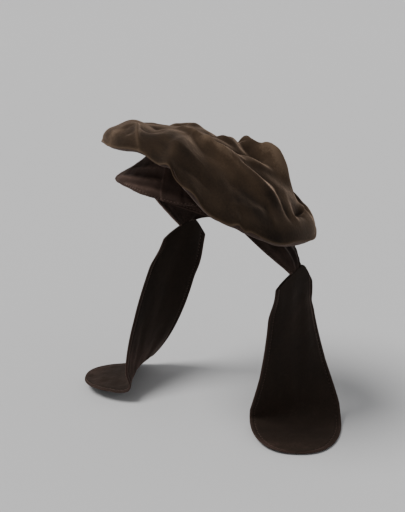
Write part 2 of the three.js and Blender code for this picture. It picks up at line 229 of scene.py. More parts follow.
# Ridges and hollows of the crown's cloth, most of them as in the source: angle and reach where each
# starts and ends, height as a share of CROWN_HEIGHT, width as a share of the crown
CROWN_FOLDS = [
    (335, 0.16, 64, 0.32, 0.05, 0.07),
    (64, 0.32, 106, 0.76, 0.085, 0.075),
    (80, 0.4, 138, 0.62, 0.045, 0.06),
    (156, 0.22, 170, 0.46, 0.1, 0.07),
    (104, 0.33, 150, 0.52, -0.06, 0.05),
    (176, 0.6, 150, 0.68, 0.3, 0.11),
    (198, 0.56, 190, 0.74, 0.06, 0.1),
    (172, 0.24, 178, 0.5, -0.05, 0.08),
    (6, 0.9, 331, 0.7, 0.1, 0.17),
    (2, 0.66, 340, 0.46, -0.05, 0.09),
    (30, 0.7, 52, 0.68, 0.04, 0.17),
    (12, 0.48, 32, 0.68, 0.085, 0.24),
    (26, 0.92, 44, 0.9, 0.02, 0.09),
    (42, 0.5, 64, 0.56, 0.028, 0.15),
    (160, 0.1, 140, 0.24, -0.035, 0.08),
    (158, 0.68, 148, 0.74, 0.13, 0.07),
    (146, 0.28, 160, 0.34, 0.035, 0.06),
    (124, 0.88, 152, 0.88, -0.13, 0.06),
    (92, 0.8, 76, 0.66, -0.05, 0.09),
    (240, 0.3, 252, 0.8, 0.06, 0.09),
    (272, 0.35, 280, 0.85, -0.06, 0.08),
    (215, 0.4, 218, 0.85, -0.07, 0.07),
]

# Small waves of the rim: angle, height
WAVE_SCALE = 1.3
RIM_WAVES = np.array([
    (0, 0.0), (12, 0.4), (20, -0.5), (28, 0.2), (34, 1.3), (36.5, -2.6), (39, -1.6), (42, 0.4),
    (45, 3.2), (48, 4.0), (51, 1.0), (55, -0.4), (60, -0.9), (65, -0.8), (69.5, 2.4), (72.5, -0.5),
    (76, 0.7), (82, -0.7), (88, -1.2), (96, -0.2), (105, 1.9), (118, 0.2), (131, -1.6), (140, 0.6),
    (152, -0.9), (166, 1.0), (184, -1.0), (203, 0.9), (224, -0.8), (247, 1.0), (269, -0.9),
    (291, 0.8), (309, -0.4), (322, 1.0), (334, 2.0), (346, 0.2),
])

# Sharp folds along bent lines: places as angle and reach, height, width as a share of the crown
CLOTH_LINES = [
    ([(312, 0.25), (10, 0.18), (57, 0.22), (71, 0.37), (82, 0.45), (92, 0.59), (101, 0.8)], 2.2, 0.05),
    ([(60, 0.31), (77, 0.41), (91, 0.48), (111, 0.48), (126, 0.55), (141, 0.69)], 2.6, 0.04),
    ([(62, 0.24), (80, 0.34), (112, 0.36), (143, 0.42), (151, 0.56)], -3.0, 0.07),
    ([(74, 0.34), (88, 0.46), (100, 0.52), (114, 0.62), (122, 0.76)], -1.8, 0.04),
    ([(344, 0.68), (355, 0.74), (5, 0.84), (11, 0.93), (14, 0.98), (20, 1.1)], 4.2, 0.026),
    ([(156, 0.89), (149, 0.9), (144, 0.92), (139, 0.94), (133, 0.96)], -9.0, 0.05),
    ([(346, 0.8), (356, 0.87), (5, 0.94)], -1.6, 0.06),
    ([(340, 0.93), (354, 0.96), (4, 0.98), (10, 1.0)], 1.3, 0.03),
    ([(24, 0.8), (32, 0.72), (44, 0.66), (60, 0.66)], 1.0, 0.07),
    ([(32, 0.98), (41, 0.86), (50, 0.8), (63, 0.84)], -1.4, 0.06),
    ([(123, 0.66), (113, 0.78), (109, 0.86), (106, 0.97)], -2.2, 0.045),
    ([(132, 0.7), (120, 0.8), (115, 0.88), (111, 0.97)], 0.8, 0.04),
    ([(100, 0.74), (96, 0.84), (92, 0.97)], 1.2, 0.04),
    ([(138, 0.9), (129, 0.875), (121, 0.89), (113, 0.92)], -5.0, 0.035),
    ([(66, 0.88), (80, 0.85), (94, 0.82)], 1.5, 0.06),
    ([(160, 0.66), (152, 0.72), (146, 0.8)], 1.5, 0.04),
    ([(166, 0.84), (158, 0.7), (168, 0.5)], -1.6, 0.05),
    ([(184, 0.4), (178, 0.66), (172, 0.92)], 1.8, 0.05),
    ([(206, 0.34), (200, 0.62), (197, 0.93)], -1.8, 0.05),
    ([(226, 0.3), (224, 0.6), (215, 0.94)], 1.8, 0.05),
    ([(246, 0.4), (241, 0.7), (236, 0.96)], -1.5, 0.05),
    ([(262, 0.3), (258, 0.62), (262, 0.93)], 1.8, 0.05),
    ([(286, 0.34), (281, 0.64), (278, 0.94)], -1.6, 0.05),
    ([(306, 0.38), (300, 0.66), (296, 0.95)], 1.6, 0.05),
    ([(326, 0.5), (320, 0.72), (312, 0.95)], -1.5, 0.05),
]

# Lines with a painted highlight along crests and a crease: places, strength, width as a share of the crown
HIGHLIGHT_LINES = [
    ([(344, 0.68), (355, 0.74), (5, 0.84), (11, 0.93), (14, 0.98), (20, 1.1)], 0.5, 0.014),
    ([(10, 0.2), (57, 0.22), (71, 0.37), (82, 0.45), (89, 0.54), (96, 0.65)], 0.2, 0.02),
    ([(60, 0.31), (77, 0.41), (91, 0.48), (111, 0.48), (126, 0.55)], 0.16, 0.02),
]

# Patches of painted light and shade on the crown: angle, reach, change of tone, width as a share of the
# crown
PAINTED_LIGHT_PATCHES = [
    (348, 0.96, 0.6, 0.13),
    (340, 0.3, 0.1, 0.2),
    (337, 0.53, -0.5, 0.09),
    (40, 0.48, -0.7, 0.09),
    (136, 0.57, -0.35, 0.06),
    (131, 0.76, -0.95, 0.07),
    (113, 0.7, -0.4, 0.055),
    (145, 0.6, -0.3, 0.06),
    (104, 0.78, -0.25, 0.07),
    (119, 0.91, -0.25, 0.06),
    (25, 0.9, 0.25, 0.06),
    (48, 0.3, 0.22, 0.14),
    (22, 0.52, -0.35, 0.1),
    (34, 0.6, -0.25, 0.09),
    (76, 0.5, 0.3, 0.14),
    (94, 0.64, 0.25, 0.1),
    (0, 0.7, -0.7, 0.11),
    (12, 0.74, -0.4, 0.1),
    (16, 0.84, -0.2, 0.1),
    (38, 0.66, -0.2, 0.12),
    (46, 0.92, -0.3, 0.12),
    (66, 0.9, -0.25, 0.1),
    (84, 0.78, -0.55, 0.13),
    (62, 0.78, -0.15, 0.14),
    (104, 0.8, -0.4, 0.12),
    (90, 0.94, -0.35, 0.12),
    (74, 0.8, -0.2, 0.1),
    (146, 0.68, 0.5, 0.15),
    (150, 0.4, -0.1, 0.12),
    (122, 0.96, -0.15, 0.12),
]

# Seams and creases of the underside: angle and way where each starts and ends, height, width.
# The way is 0 at the rim seam and 1 at the band.
UNDER_LINES = [
    (12, 0.5, 26, 0.78, 0.9, 0.9),
    (-32, 0.688, 20, 0.63, 1.5, 1.1),
    (-32, 0.67, 20, 0.608, -2.2, 1.5),
    (-32, 0.65, 2, 0.592, 1.3, 1.0),
    (-30, 0.632, 4, 0.572, -1.9, 1.4),
    (-16, 0.715, 24, 0.67, 1.0, 0.9),
    (14, 0.66, 44, 0.63, -1.1, 1.7),
    (-44, 0.56, -34, 0.72, -1.2, 1.9),
    (34, 0.52, 40, 0.74, -1.0, 1.8),
    (-72, 0.52, -64, 0.78, 1.2, 1.1),
    (-96, 0.3, -90, 0.7, -1.4, 3.0),
    (-130, 0.3, -126, 0.8, 1.3, 3.0),
    (-158, 0.2, -150, 0.7, -1.4, 3.0),
    (66, 0.3, 74, 0.7, -1.2, 2.6),
    (100, 0.3, 104, 0.8, 1.2, 1.1),
    (132, 0.25, 128, 0.7, -1.4, 3.0),
    (166, 0.3, 170, 0.8, 1.3, 2.6),
]

# Lappet outline: its width at shares of the length before the round end starts
LAPPET_OUTLINE = np.array([(0.0, 0.58), (0.26, 0.7), (0.48, 0.83), (ROUND_END_FROM, 1.0)])

# How each lappet falls: where its middle line meets the surface and where it heads from there, and
# how high its front and rear edges stay above the surface. The reach is a share of TAB_REACH, the
# lifts are shares of LAPPET_WIDTH.
LAPPETS = {
    "left": {"side": 1, "at": 123, "reach": 1.02, "heading": 47, "front": 0.03, "back": 0},
    "right": {"side": -1, "at": -76, "reach": 0.885, "heading": -46, "front": 0.12, "back": 0},
}


def outward(angle):
    """Horizontal unit vectors at angles round the head, 0 at the front."""
    a = np.radians(np.asarray(angle, float))
    return np.stack([np.sin(a), -np.cos(a), np.zeros_like(a)], -1)


def with_height(points, z):
    """The same points seen from above, at another height."""
    out = np.array(points, float)
    out[..., 2] = z
    return out


def unit(vectors):
    return vectors / np.maximum(np.linalg.norm(vectors, axis=-1, keepdims=True), 1e-9)


def smooth(t):
    """Rises from 0 to 1 as t does, level at both ends."""
    u = np.clip(t, 0.0, 1.0)
    return u * u * (3 - 2 * u)


def bell(distance, width):
    """1 where the distance is 0, falling off over the width."""
    return np.exp(-((distance / width) ** 2))


def signed(angle):
    """Angles from -180 to 180."""
    return np.mod(angle + 180.0, 360.0) - 180.0


def around(rows, angle, column):
    """A smooth periodic value from a table whose rows go once round the head."""
    turn = np.mod(np.asarray(angle, float), 360.0)
    at = rows[:, 0]
    value = rows[:, column]
    count = len(rows)
    last = (np.searchsorted(at, turn, side="right") - 1) % count

    def row(step):
        return (last + step) % count

    def gap(a, b):
        return np.mod(at[b] - at[a], 360.0)

    span = gap(row(0), row(1))
    t = np.mod(turn - at[row(0)], 360.0) / span
    slope_in = (value[row(1)] - value[row(-1)]) / (gap(row(-1), row(0)) + span) * span
    slope_out = (value[row(2)] - value[row(0)]) / (span + gap(row(1), row(2))) * span
    t2 = t * t
    t3 = t2 * t
    low = (2 * t3 - 3 * t2 + 1) * value[row(0)] + (t3 - 2 * t2 + t) * slope_in
    return low + (3 * t2 - 2 * t3) * value[row(1)] + (t3 - t2) * slope_out


def head_reach(angle, height):
    """Distance from the middle to the head's side, at an angle and a height."""
    level = (height - (HEAD_TOP - HEAD_HEIGHT)) / HEAD_HEIGHT
    a = np.radians(angle)
    widest = 1 / np.hypot(np.sin(a) / (HEAD_WIDTH / 2), np.cos(a) / (HEAD_LENGTH / 2))
    return widest * np.sqrt(np.maximum(0.05, 1 - level * level))


def band_point(angle, up):
    """Places on the band's outer face, up from the opening's edge."""
    angle = np.asarray(angle, float)
    cosine = np.cos(np.radians(angle))
    reach = np.full_like(angle, HEAD_LENGTH / 2)
    height = np.zeros_like(angle)
    for _ in range(12):
        height = OPENING_TILT * reach * cosine + OPENING_RISE * (1 + cosine) / 2
        reach = head_reach(angle, height)
    out = outward(angle) * (head_reach(angle, height + up) + BAND_EASE)[..., None]
    return with_height(out, height + up)


def rim_point(angle):
    """Places on the rim seam."""
    out = outward(angle) * (CROWN_RADIUS * around(CROWN_SECTIONS, angle, REACH))[..., None]
    return with_height(out, CROWN_DEPTH * around(CROWN_SECTIONS, angle, LIFT))


def fold_height(reach, angle):
    """Height of the main folds at places on the crown."""
    here = outward(angle) * reach[..., None]
    height = np.zeros_like(reach)
    for from_angle, from_reach, to_angle, to_reach, rise, width in CROWN_FOLDS:
        start = outward(from_angle) * from_reach
        run = outward(to_angle) * to_reach - start
        t = np.clip(((here - start) @ run) / (run @ run), 0, 1)
        away = np.linalg.norm(here - start - t[..., None] * run, axis=-1)
        height += rise * CROWN_HEIGHT * bell(away, width)
    return height * (1 - reach**6)


def line_height(lines, reach, angle):
    """Height of sharp folds along bent lines that fade out at their ends."""
    here = outward(angle)[..., :2] * reach[..., None]
    height = np.zeros_like(reach)
    for places, rise, width in lines:
        knots = np.array([outward(a)[:2] * r for a, r in places])
        nearest = np.full_like(reach, 9.0)
        fade = np.zeros_like(reach)
        for k in range(len(knots) - 1):
            run = knots[k + 1] - knots[k]
            t = np.clip(((here - knots[k]) @ run) / (run @ run), 0, 1)
            away = np.linalg.norm(here - knots[k] - t[..., None] * run, axis=-1)
            place = (k + t) / (len(knots) - 1)
            fade = np.where(away < nearest, smooth(np.minimum(place, 1 - place) * 4), fade)
            nearest = np.minimum(nearest, away)
        away = np.hypot(nearest / width, FOLD_ROUND) - FOLD_ROUND
        height += rise * fade * np.exp(-FOLD_FALL * away)
    return height


def painted_light_patches(reach, angle):
    """Change of tone where light and shade are painted on the crown."""
    here = outward(angle)[..., :2] * reach[..., None]
    tone = np.zeros_like(reach)
    for at_angle, at_reach, change, width in PAINTED_LIGHT_PATCHES:
        away = np.linalg.norm(here - outward(at_angle)[:2] * at_reach, axis=-1)
        tone += change * bell(away, width)
    return tone


def under_lines(way, angle):
    """Height of the underside's seams and creases."""
    height = np.zeros(np.broadcast(way, angle).shape)
    for from_angle, from_way, to_angle, to_way, rise, width in UNDER_LINES:
        start = np.array([from_angle * UNDER_DEGREE, from_way * UNDER_WAY])
        run = np.array([to_angle * UNDER_DEGREE, to_way * UNDER_WAY]) - start
        off_angle = signed(angle) * UNDER_DEGREE - start[0]
        off_way = way * UNDER_WAY - start[1]
        t = np.clip((off_angle * run[0] + off_way * run[1]) / (run @ run), 0, 1)
        away = np.hypot(off_angle - t * run[0], off_way - t * run[1])
        height += rise * smooth(np.minimum(t, 1 - t) * 5 + 0.15) * bell(away, width)
    return height


def rim_wave(angle):
    return WAVE_SCALE * around(RIM_WAVES, angle, 1)


def crown_point(reach, angle):
    """Places on the crown's outer face: reach 0 at the middle, 1 at the rim seam."""
    rim = rim_point(angle)
    rim_reach = np.hypot(rim[..., 0], rim[..., 1])
    roll_share = around(CROWN_SECTIONS, angle, ROLL)
    inner = 1 - EDGE_ROUND * (0.5 + 0.5 * roll_share) / rim_reach
    past = np.maximum(0, (reach - inner) / (1 - inner))
    roll = RIM_ROLL * roll_share * np.sqrt(np.maximum(0, 1 - past * past))
    shoulder = rim[..., 2] + RIM_ROLL * roll_share
    fall = reach ** around(CROWN_SECTIONS, angle, FULL)
    height = rim[..., 2] + roll + (CROWN_HEIGHT - shoulder) * (1 - fall)
    place = rim * reach[..., None]
    height = height - CROWN_LEAN * (place @ outward(LEAN_TOWARDS)) * (1 - reach**3)
    height = height + fold_height(reach, angle) + rim_wave(angle) * reach**10
    return with_height(place, height)


def underside_profile(ways, angle):
    """Reach and height of the underside's outer face, from the rim seam, 0, to the band's top, 1."""
    rim = rim_point(angle)
    band = band_point(angle, BAND_HEIGHT + SEAM_GAP)
    rim_z = rim[:, 2] - SEAM_GAP
    rim_r = np.hypot(rim[:, 0], rim[:, 1])
    band_r = np.hypot(band[:, 0], band[:, 1])

    def reach_at(column):
        return band_r + (rim_r - band_r) * around(UNDERSIDE_SECTIONS, angle, column)

    def height_at(column):
        return band[:, 2] + (rim_z - band[:, 2]) * around(UNDERSIDE_SECTIONS, angle, column)

    knots = np.stack([
        np.stack([rim_r, rim_z], -1),
        np.stack([rim_r - EDGE_ROUND * 0.7, rim_z - EDGE_ROUND * 0.4], -1),
        np.stack([reach_at(WAIST_REACH), height_at(WAIST_LIFT)], -1),
        np.stack([reach_at(LIP_REACH), height_at(LIP_LIFT)], -1),
        np.stack([band_r, band[:, 2]], -1),
    ], 1)
    profile = np.stack([spline(knots, way) for way in ways])
    profile[..., 1] += rim_wave(angle) * (1 - ways[:, None]) ** 6
    return profile


def spline(points, t):
    """A centripetal Catmull-Rom place on each row of knots, as the source's curve finds it."""
    count = points.shape[1]
    where = (count - 1) * t
    k = min(int(where), count - 2)
    weight = where - k
    p1 = points[:, k]
    p2 = points[:, k + 1]
    p0 = points[:, k - 1] if k > 0 else 2 * p1 - p2
    p3 = points[:, k + 2] if k + 2 < count else 2 * p2 - p1
    d0 = np.maximum(((p0 - p1) ** 2).sum(-1) ** 0.25, 1e-4)[:, None]
    d1 = np.maximum(((p1 - p2) ** 2).sum(-1) ** 0.25, 1e-4)[:, None]
    d2 = np.maximum(((p2 - p3) ** 2).sum(-1) ** 0.25, 1e-4)[:, None]
    t1 = ((p1 - p0) / d0 - (p2 - p0) / (d0 + d1) + (p2 - p1) / d1) * d1
    t2 = ((p2 - p1) / d1 - (p3 - p1) / (d1 + d2) + (p3 - p2) / d2) * d1
    c2 = -3 * p1 + 3 * p2 - 2 * t1 - t2
    c3 = 2 * p1 - 2 * p2 + t1 + t2
    return p1 + t1 * weight + c2 * weight**2 + c3 * weight**3


def skin_normals(grid, wraps):
    """Unit normals of a grid of points [row, column, xyz] that face out of the cap."""
    along = np.gradient(grid, axis=0)
    if wraps:
        across = np.roll(grid, -1, 1) - np.roll(grid, 1, 1)
    else:
        across = np.gradient(grid, axis=1)
    return unit(np.cross(along, across))


def relax(values, wraps, times=1):
    """A grid of numbers or vectors, blurred."""
    out = np.array(values, float)
    for _ in range(times):
        sides = (np.roll(out, 1, 1) + np.roll(out, -1, 1)) / 2
        if not wraps:
            sides[:, 0] = out[:, 1]
            sides[:, -1] = out[:, -2]
        ends = out.copy()
        ends[1:-1] = (out[:-2] + out[2:]) / 2
        out = out * 0.5 + sides * 0.25 + ends * 0.25
    return out


def cloth_noise(grid, scale, seed, octaves=3):
    """Soft noise from -1 to 1 at each point, for a wave length and a place in the noise."""
    flat = grid.reshape(-1, 3) / scale + seed
    values = [noise.fractal(Vector(p), 1.0, 2.0, octaves) for p in flat]
    return np.array(values).reshape(grid.shape[:-1])


def rumple(grid, rows):
    """Unevenness of the cloth at each point of a grid, from rows of the tables above."""
    return sum(height * cloth_noise(grid, scale, seed) for height, scale, seed in rows)


def crest_of(grid, wraps, span):
    """How far each point stands above the surface blurred span times, from -1 to 1."""
    normal = skin_normals(relax(grid, wraps, times=4), wraps)
    soft = relax(grid, wraps, span)
    rise = ((grid - soft) * normal).sum(-1)
    return np.clip(rise / CREST_RISE, -1, 1)


def add_attribute(mesh, name, values):
    layer = mesh.attributes.new(name, "FLOAT", "POINT")
    layer.data.foreach_set("value", np.asarray(values, np.float32))


def shell(name, outer, inner, wraps, body_slot, nodes, pole=False, **layers):
    """A closed body of cloth between two grids of points, with named values at each point."""
    rows, columns = outer.shape[:2]
    verts = []
    faces = []
    values = {key: [] for key in layers}
    grids = []
    for grid in (outer, inner):
        index = np.empty((rows, columns), int)
        for j in range(rows):
            if pole and j == 0:
                index[j, :] = len(verts)
                verts.append(grid[0].mean(0))
                picks = [0]
            else:
                index[j] = np.arange(len(verts), len(verts) + columns)
                verts.extend(grid[j])
                picks = range(columns)
            for key, source in layers.items():
                values[key].extend(source[j, i] for i in picks)
        grids.append(index)
    last = columns if wraps else columns - 1
    for index, flipped in ((grids[0], False), (grids[1], True)):
        for j in range(rows - 1):
            for i in range(last):
                k = (i + 1) % columns
                quad = [index[j, i], index[j + 1, i], index[j + 1, k], index[j, k]]
                if quad[0] == quad[3]:
                    quad = quad[:3]
                faces.append(quad[::-1] if flipped else quad)
    out, ins = grids
    for i in range(last):
        k = (i + 1) % columns
        faces.append([out[-1, k], out[-1, i], ins[-1, i], ins[-1, k]])
        if not pole:
            faces.append([out[0, i], out[0, k], ins[0, k], ins[0, i]])
    if not wraps:
        for j in range(rows - 1):
            faces.append([out[j + 1, 0], out[j, 0], ins[j, 0], ins[j + 1, 0]])
            faces.append([out[j, -1], out[j + 1, -1], ins[j + 1, -1], ins[j, -1]])
    mesh = bpy.data.meshes.new(name)
    mesh.from_pydata((np.array(verts) / 1000).tolist(), [], [[int(v) for v in f] for f in faces])
    for key, source in values.items():
        add_attribute(mesh, key, source)
    mesh.shade_smooth()
    mesh.update()
    piece = bpy.data.objects.new(name, mesh)
    bpy.context.scene.collection.objects.link(piece)
    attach(piece, "root")
    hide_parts(*nodes)
    piece.data.materials.append(VELVETS[body_slot])


def velvet(name, dark, light, worn_and_highlight, sheen_tint, sheen, patch_scale, stitch_at=None):
    """Velvet with a short pile: brushed patches, crests painted lighter and hollows darker, seams and edges
    rubbed light with painted highlights, painted light and shade from each piece, and a grazing sheen.
    """
    material = bpy.data.materials.new(name)
    material.use_nodes = True
    tree = material.node_tree
    nodes = tree.nodes
    link = tree.links.new
    shader = nodes["Principled BSDF"]
    shader.inputs["Specular IOR Level"].default_value = 0.12
    shader.inputs["Sheen Weight"].default_value = sheen
    shader.inputs["Sheen Roughness"].default_value = 0.3
    shader.inputs["Sheen Tint"].default_value = (*sheen_tint, 1)
    place = nodes.new("ShaderNodeTexCoord").outputs["Object"]

    def noise_at(scale, detail, distortion=0.0, stretch=None):
        made = nodes.new("ShaderNodeTexNoise")
        made.inputs["Scale"].default_value = scale
        made.inputs["Detail"].default_value = detail
        made.inputs["Distortion"].default_value = distortion
        if stretch is None:
            link(place, made.inputs["Vector"])
        else:
            mapping = nodes.new("ShaderNodeMapping")
            mapping.inputs["Scale"].default_value = stretch
            link(place, mapping.inputs["Vector"])
            link(mapping.outputs["Vector"], made.inputs["Vector"])
        return made.outputs["Fac"]

    def value_of(attribute):
        made = nodes.new("ShaderNodeAttribute")
        made.attribute_name = attribute
        return made.outputs["Fac"]

    def math_of(operation, *values, clamp=False):
        made = nodes.new("ShaderNodeMath")
        made.operation = operation
        made.use_clamp = clamp
        for k, value in enumerate(values):
            if isinstance(value, float):
                made.inputs[k].default_value = value
            else:
                link(value, made.inputs[k])
        return made.outputs["Value"]

    def add_scaled(value, factor, to):
        return math_of("MULTIPLY_ADD", value, factor, to)

    def near(distance, width):
        """1 where the distance is 0, falling to 0 at the width."""
        return math_of("SUBTRACT", 1.0, math_of("DIVIDE", distance, width), clamp=True)

    def bumped(height, strength, distance, below=None):
        made = nodes.new("ShaderNodeBump")
        made.inputs["Strength"].default_value = strength
        made.inputs["Distance"].default_value = distance
        link(height, made.inputs["Height"])
        if below is not None:
            link(below, made.inputs["Normal"])
        return made.outputs["Normal"]

    # The tone runs from the dark colour at 0.2 over the light one at 0.8 to the one for wear and painted
    # highlights at 1
    patches = noise_at(patch_scale, 4, 0.7)
    brushed = noise_at(60, 3, 0.3, (1.0, 1.0, 0.25))
    pile = noise_at(1500, 2)
    weave = noise_at(430, 5)
    tone = add_scaled(patches, 0.6, -0.13)
    # Painted light and shade from each piece: patches on the crown, a shaded strip by its hem, light under
    # the peak and low on the lappets, a darker tone on the tabs
    tone = add_scaled(value_of("brushed_way"), 0.8, tone)
    tone = add_scaled(brushed, 0.28, tone)
    # Crests painted lighter, partly as wear and partly as a painted highlight, and hollows painted darker as
    # shade
    tone = add_scaled(value_of("crest"), 0.22, tone)
    tone = add_scaled(pile, 0.22, tone)
    tone = add_scaled(weave, 0.3, tone)
    ramp = nodes.new("ShaderNodeValToRGB")
    ramp.color_ramp.interpolation = "LINEAR"
    ramp.color_ramp.elements[0].position = 0.2
    ramp.color_ramp.elements[0].color = (*dark, 1)
    ramp.color_ramp.elements[1].position = 0.8
    ramp.color_ramp.elements[1].color = (*light, 1)
    ramp.color_ramp.elements.new(1.0).color = (*worn_and_highlight, 1)
    link(tone, ramp.inputs["Fac"])
    seam = value_of("seam")
    normal = bumped(weave, 0.4, 0.0006)
    normal = bumped(pile, 0.35, 0.0002, normal)
    # A row of stitches lies where the edge value is stitch_at, in a shallow groove
    if stitch_at is not None:
        distance = math_of("ABSOLUTE", add_scaled(value_of("edge"), 1.0, -stitch_at))
        beat = math_of("COSINE", math_of("MULTIPLY", value_of("run"), 2 * math.pi / STITCH_PITCH))
        beats = add_scaled(beat, 1.4, 0.5)
        stitch = math_of("MULTIPLY", near(distance, STITCH_WIDTH), beats, clamp=True)
        groove = math_of("MULTIPLY", near(distance, STITCH_GROOVE), 0.8)
        normal = bumped(math_of("SUBTRACT", stitch, groove), 0.9, 0.0007, normal)
        seam = add_scaled(stitch, 0.5, seam)
    # Seams and edges turn towards the colour for wear and painted highlights: wear along edges, seams and
    # stitches, painted highlights on the crown's hem, its crest lines and the underside's raised seams and
    # creases
    rubbed_and_highlit = nodes.new("ShaderNodeMix")
    rubbed_and_highlit.data_type = "RGBA"
    rubbed_and_highlit.inputs["B"].default_value = (*worn_and_highlight, 1)
    link(seam, rubbed_and_highlit.inputs["Factor"])
    link(ramp.outputs["Color"], rubbed_and_highlit.inputs["A"])
    link(rubbed_and_highlit.outputs["Result"], shader.inputs["Base Color"])
    link(add_scaled(patches, 0.25, 0.7), shader.inputs["Roughness"])
    link(normal, shader.inputs["Normal"])
    return material


VELVETS = {
    "crown_velvet": velvet(
        "crown_velvet", dark=(0.0105, 0.0064, 0.0039), light=(0.05, 0.031, 0.0185),
        worn_and_highlight=(0.11, 0.073, 0.047), sheen_tint=(0.95, 0.67, 0.48), sheen=0.5, patch_scale=20,
    ),
    "underside_velvet": velvet(
        "under_velvet", dark=(0.0135, 0.0078, 0.0061), light=(0.054, 0.0335, 0.0265),
        worn_and_highlight=(0.125, 0.08, 0.064), sheen_tint=(0.8, 0.6, 0.5), sheen=0.3, patch_scale=30,
        stitch_at=UNDER_STITCHES,
    ),
    "lappet_velvet": velvet(
        "lappet_velvet", dark=(0.0068, 0.005, 0.0037), light=(0.0235, 0.0155, 0.0112),
        worn_and_highlight=(0.052, 0.031, 0.025), sheen_tint=(0.8, 0.52, 0.44), sheen=0.3, patch_scale=18,
        stitch_at=LAPPET_STITCHES,
    ),
}
ANGLES = np.arange(COLUMNS) * 360.0 / COLUMNS


def make_crown():
    shares = 1 - (1 - np.arange(CROWN_ROWS + 1) / CROWN_ROWS) ** CROWN_CROWDING
    reach, angle = np.meshgrid(shares, ANGLES, indexing="ij")
    plain = crown_point(reach, angle)
    normals = skin_normals(relax(plain, True, times=3), True)
    normals[0] = (0, 0, 1)
    normals[-1] = outward(ANGLES)
    steps = np.linalg.norm(np.diff(plain, axis=0), axis=-1)
    from_rim = np.concatenate([np.cumsum(steps[::-1], axis=0)[::-1], np.zeros((1, COLUMNS))])
    bead = bell(from_rim, BEAD_WIDTH)
    detail = line_height(CLOTH_LINES, reach, angle) * (1 - reach**24)
    detail += rumple(plain, CROWN_RUMPLES) * (1 - reach**8)
    detail += BEAD_HEIGHT * bead - GROOVE_DEPTH * bell(from_rim - GROOVE_PLACE, BEAD_WIDTH)
    outer = plain + normals * detail[..., None]
    # Painted highlights along the crown's crest lines and its crease
    rubbed_and_highlit = np.clip(line_height(HIGHLIGHT_LINES, reach, angle), 0, 1)
    shell(
        "crown_velvet_top", outer, outer - normals * CLOTH, True, "crown_velvet", ["crown_top"], pole=True,
        crest=crest_of(outer, True, span=24) * smooth(from_rim / 24),
        # The hem's bead is lighter, partly as wear and partly as a painted highlight
        seam=np.clip(CROWN_HEM_WEAR_AND_HIGHLIGHT * bead + rubbed_and_highlit, 0, 1),
        # Painted light and shade: patches over the crown, and a strip of painted shade beside the hem
        brushed_way=painted_light_patches(reach, angle) - HEM_SHADE_TONE * bell(from_rim - HEM_SHADE_PLACE, HEM_SHADE_WIDTH),
    )


def make_underside():
    ways = np.linspace(0, 1, UNDER_ROWS + 1)
    profile = underside_profile(ways, ANGLES)
    plain = with_height(outward(ANGLES)[None] * profile[..., :1], profile[..., 1])
    normals = skin_normals(plain, True)
    normals[0] = outward(ANGLES)
    normals[-1] = outward(ANGLES)
    fade = (np.sin(np.pi * ways) ** 0.5)[:, None]
    seams = under_lines(ways[:, None], ANGLES[None])
    outer = plain + normals * (rumple(plain, UNDER_RUMPLES) * fade + seams)[..., None]
    turn = signed(ANGLES)[None]
    shell(
        "crown_velvet_under", outer, outer - normals * CLOTH, True, "underside_velvet", ["crown_underside"],
        # Raised seams and creases get a painted highlight
        crest=crest_of(outer, True, span=16), seam=np.clip(seams, 0, 1) * UNDER_SEAM_HIGHLIGHT,
        edge=np.broadcast_to(UNDER_WAY * np.abs(ways[:, None] - SEAM_WAY), seams.shape),
        run=np.broadcast_to(BAND_DEGREE * np.abs(turn), seams.shape),
        # Painted light at the front under the peak, where the crown's shade falls
        brushed_way=np.broadcast_to(PEAK_PAINTED_LIGHT * bell(turn - PEAK_ANGLE, PEAK_SPREAD), seams.shape),
    )


def make_band():
    down = np.linspace(0, 1, BAND_ROWS + 1)
    heights = np.linspace(BAND_HEIGHT + SEAM_GAP, 0, BAND_ROWS + 1)
    plain = np.stack([band_point(ANGLES, up) for up in heights])
    normals = np.broadcast_to(outward(ANGLES), plain.shape)
    swell = 0.5 * np.sin(np.pi * down)[:, None, None]
    outer = plain + normals * swell
    grid = outer.shape[:2]
    shell(
        "band_velvet", outer, outer - normals * (CLOTH + swell), True, "underside_velvet", ["headband"],
        crest=crest_of(outer, True, span=3), seam=np.zeros(grid),
        edge=np.broadcast_to(BAND_HEIGHT * (1 - down)[:, None], grid),
        run=np.broadcast_to(BAND_DEGREE * np.abs(signed(ANGLES))[None], grid),
    )


def tab_end(side):
    """Middle of a tab's lower end."""
    return with_height(outward(side * TAB_ANGLE) * TAB_REACH, -TAB_DROP)


def joint_line(side):
    """Direction of that end, from front to back."""
    return with_height(outward(side * (JOINT_FACING + 90)), JOINT_SLOPE)


def tab_grid(side):
    """Plain points of a tab, from the band down, and the directions in which they face."""
    down = np.linspace(0, 1, TAB_ROWS + 1)[:, None, None]
    share = np.linspace(0, 1, TAB_COLUMNS + 1)[None, :, None]
    upper_angles = side * (TAB_FROM + (TAB_TO - TAB_FROM) * share[0, :, 0])
    top = band_point(upper_angles, 0.0)[None]
    foot = tab_end(side) + joint_line(side) * (share - 0.5) * TAB_END_WIDTH
    points = top + (foot - top) * down
    arch = np.sin(np.pi * down)
    points = points + outward(side * TAB_ANGLE) * TAB_BULGE * arch * np.sin(np.pi * share)
    points[..., 2] -= (TAB_SAG * arch * (1 - share))[..., 0]
    ends = outward(upper_angles)
    if side < 0:
        points = points[:, ::-1]
        ends = ends[::-1]
    facing = skin_normals(points, False)
    facing[0] = ends
    facing[-1] = outward(side * JOINT_FACING)
    return points, facing


